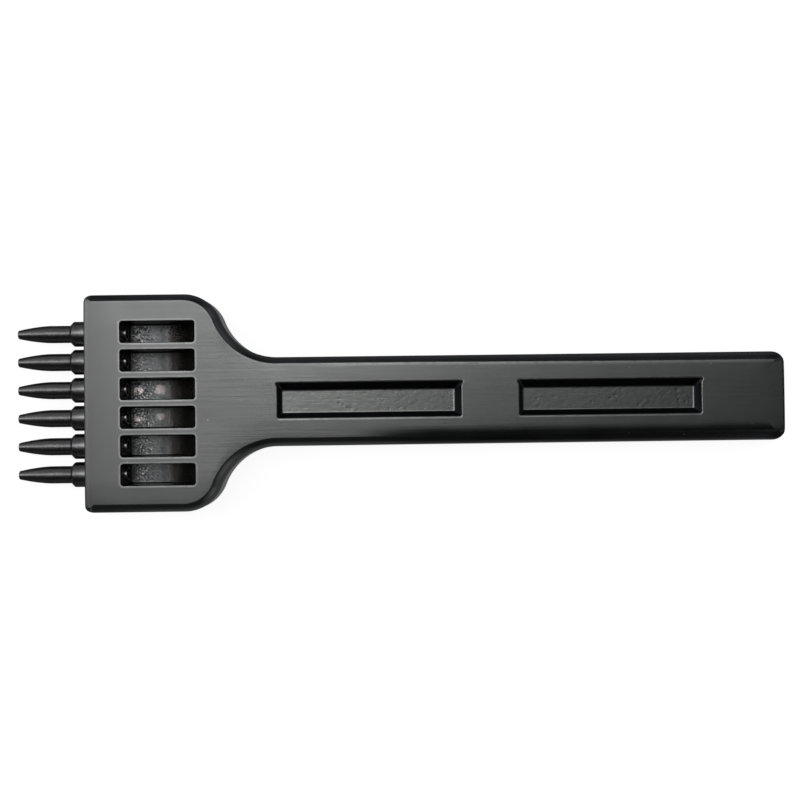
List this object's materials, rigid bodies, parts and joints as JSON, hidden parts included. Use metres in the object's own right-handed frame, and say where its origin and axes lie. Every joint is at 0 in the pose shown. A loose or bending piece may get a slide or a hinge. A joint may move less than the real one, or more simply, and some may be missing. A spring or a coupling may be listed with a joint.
{
  "type": "pricking iron",
  "caption": "Round-hole pricking iron for leather: a flat black steel handle widening into a head with a row of hollow punch teeth and slug pockets behind them.",
  "frame": {"origin": "bottom centre of the whole tool as it lies on its back face", "axes": "+X runs from the teeth to the striking end, +Y across the row of teeth, +Z out of the front face that the slug pockets open in"},
  "size_m": [0.1354, 0.0384, 0.0085],
  "materials": {
    "body_coating": "satin black coating over brushed steel, worn a little along the edges",
    "tooth_coating": "thin satin black coating over turned steel, bare steel in the bores and at the cutting edges"
  },
  "bodies": {
    "root": {"iron_body": "body_coating", "punch_tube_1": "tooth_coating", "punch_tube_2": "tooth_coating", "punch_tube_3": "tooth_coating", "punch_tube_4": "tooth_coating", "punch_tube_5": "tooth_coating", "punch_tube_6": "tooth_coating"}
  },
  "joints": []
}
